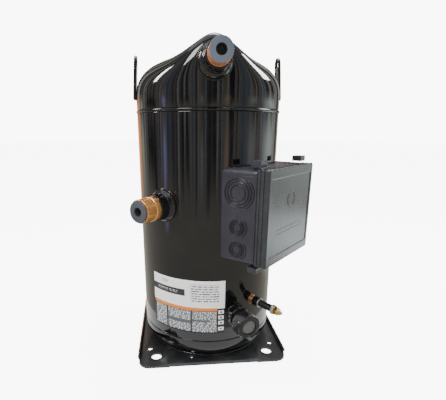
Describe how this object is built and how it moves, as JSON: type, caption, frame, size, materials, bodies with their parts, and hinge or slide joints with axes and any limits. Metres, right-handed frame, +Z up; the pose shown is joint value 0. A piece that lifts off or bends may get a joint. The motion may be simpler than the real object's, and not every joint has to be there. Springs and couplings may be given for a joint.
{
  "type": "scroll compressor",
  "caption": "Upright hermetic scroll compressor: glossy black welded can with hooded top, square foot plate, terminal box, plugged stubs, oil sight glass, and scroll set and motor inside.",
  "frame": {"origin": "centre of the four mounting holes, on the axis of the can, at the level of the feet", "axes": "+Z up along the can, -Y towards the discharge fitting, +X towards the right lifting lug"},
  "size_m": [0.2902, 0.3053, 0.4958],
  "materials": {
    "foot_paint": "semi-gloss black paint over pressed steel",
    "can_paint": "high-gloss black paint over deep-drawn steel, hanging in long vertical reflections",
    "bare_steel": "bare pressed steel, lightly oiled",
    "copper": "copper-plated steel tube, brushed, slightly heat-tinted",
    "pale_rubber": "moulded pale blue-grey rubber, matt",
    "dark_rubber": "moulded dark grey rubber, matt",
    "box_plastic": "semi-gloss black moulded thermoplastic with a faint grain",
    "cover_plastic": "semi-gloss black moulded thermoplastic, smooth raised frame",
    "gasket_rubber": "closed-cell foam rubber",
    "sealing_glass": "fused sealing glass beads",
    "pin_metal": "copper-cored steel conductor pins",
    "phenolic": "brown phenolic moulding",
    "zinc": "bright zinc plate",
    "green_zinc": "green chromate on a ground screw",
    "nut_paint": "gloss black paint over machined hexagons",
    "lens_glass": "clear sight window over a grey core",
    "fitting_copper": "copper-coloured brazing base",
    "brass": "machined yellow brass",
    "label_film": "white, orange and grey printed film with plain bands, no lettering",
    "scroll_iron": "machined grey iron",
    "housing_iron": "as-cast grey iron with machined faces",
    "bearing_lining": "bronze-backed polymer lining",
    "ring_alloy": "die-cast aluminium, ground faces",
    "shaft_steel": "ground forged steel",
    "weight_brass": "cast brass balance weight",
    "lamination": "stacked electrical steel laminations",
    "end_ring": "cast aluminium end rings",
    "winding": "enamelled copper wire, varnished and laced",
    "seal_ring": "filled PTFE seal ring",
    "magnet": "sintered ferrite disc"
  },
  "bodies": {
    "can": {"base_plate": "foot_paint", "lower_cap": "can_paint", "center_shell": "can_paint", "top_cap": "can_paint", "partition_plate": "can_paint", "lifting_lug_left": "can_paint", "lifting_lug_right": "can_paint", "discharge_collar": "nut_paint", "discharge_stub": "copper", "suction_collar": "nut_paint", "suction_stub": "copper", "suction_baffle": "bare_steel", "terminal_box": "box_plastic", "terminal_fence": "bare_steel", "terminal_cup": "bare_steel", "terminal_glass": "sealing_glass", "terminal_pins": "pin_metal", "terminal_block": "phenolic", "terminal_screws": "zinc", "ground_screw": "green_zinc", "sight_glass_fitting": "nut_paint", "sight_glass_nut": "nut_paint", "sight_glass_seal": "gasket_rubber", "sight_glass_lens": "lens_glass", "oil_valve_base": "fitting_copper", "oil_valve_body": "nut_paint", "oil_valve_washer": "zinc", "rating_label": "label_film", "valve_retainer": "bare_steel", "relief_valve": "brass", "scroll_bolts": "bare_steel", "main_bearing_housing": "housing_iron", "main_bearing": "bearing_lining", "stator_core": "lamination", "stator_windings": "winding", "lower_bearing_bracket": "housing_iron", "lower_bearing": "bearing_lining", "thrust_washer": "bearing_lining", "sump_magnet": "magnet"},
    "rotor": {"crankshaft": "shaft_steel", "drive_bush": "shaft_steel", "upper_counterweight": "weight_brass", "rotor_core": "lamination", "rotor_end_rings": "end_ring", "lower_counterweight": "weight_brass", "oil_pickup": "bare_steel"},
    "orbiter": {"orbiting_scroll": "scroll_iron", "hub_bearing": "bearing_lining"},
    "oldham": {"oldham_ring": "ring_alloy"},
    "fixed": {"fixed_scroll": "scroll_iron"},
    "seal": {"floating_seal": "scroll_iron", "seal_rings": "seal_ring"},
    "check_disc": {"valve_disc": "bare_steel"},
    "cover": {"terminal_box_cover": "cover_plastic", "cover_gasket": "gasket_rubber"},
    "discharge_plug": {"discharge_plug": "pale_rubber"},
    "suction_plug": {"suction_plug": "dark_rubber"},
    "valve_cap": {"oil_valve_cap": "brass"},
    "valve_core": {"oil_valve_core": "brass"}
  },
  "joints": [
    {"name": "crank_spin", "type": "hinge", "parent": "can", "child": "rotor", "pos_m": [0, 0, 0], "axis": [0, 0, 1], "continuous": true},
    {"name": "orbit", "type": "hinge", "parent": "rotor", "child": "orbiter", "pos_m": [0, 0.00431, 0], "axis": [0, 0, 1], "continuous": true},
    {"name": "oldham_slide", "type": "slide", "parent": "can", "child": "oldham", "axis": [1, 0, 0], "range_m": [-0.00431, 0.00431]},
    {"name": "fixed_scroll_float", "type": "slide", "parent": "can", "child": "fixed", "axis": [0, 0, 1], "range_m": [0, 0.001]},
    {"name": "seal_float", "type": "slide", "parent": "fixed", "child": "seal", "axis": [0, 0, 1], "range_m": [0, 0.001]},
    {"name": "check_disc_lift", "type": "slide", "parent": "can", "child": "check_disc", "axis": [0, 0, 1], "range_m": [0, 0.003]},
    {"name": "cover_pull", "type": "slide", "parent": "can", "child": "cover", "axis": [0.7133, -0.7009, 0], "range_m": [0, 0.06]},
    {"name": "discharge_plug_pull", "type": "slide", "parent": "can", "child": "discharge_plug", "axis": [-0.0227, -0.9997, 0], "range_m": [0, 0.04]},
    {"name": "suction_plug_pull", "type": "slide", "parent": "can", "child": "suction_plug", "axis": [-0.6494, -0.7604, 0], "range_m": [0, 0.04]},
    {"name": "valve_cap_pull", "type": "slide", "parent": "can", "child": "valve_cap", "axis": [0.5577, -0.83, 0], "range_m": [0, 0.03]},
    {"name": "valve_core_press", "type": "slide", "parent": "can", "child": "valve_core", "axis": [-0.5577, 0.83, 0], "range_m": [0, 0.0015], "stiffness_N_per_m": 400, "springref_m": -0.0005}
  ],
  "couplings": [
    {"joint": "orbit", "follows": "crank_spin", "ratio": -1}
  ]
}
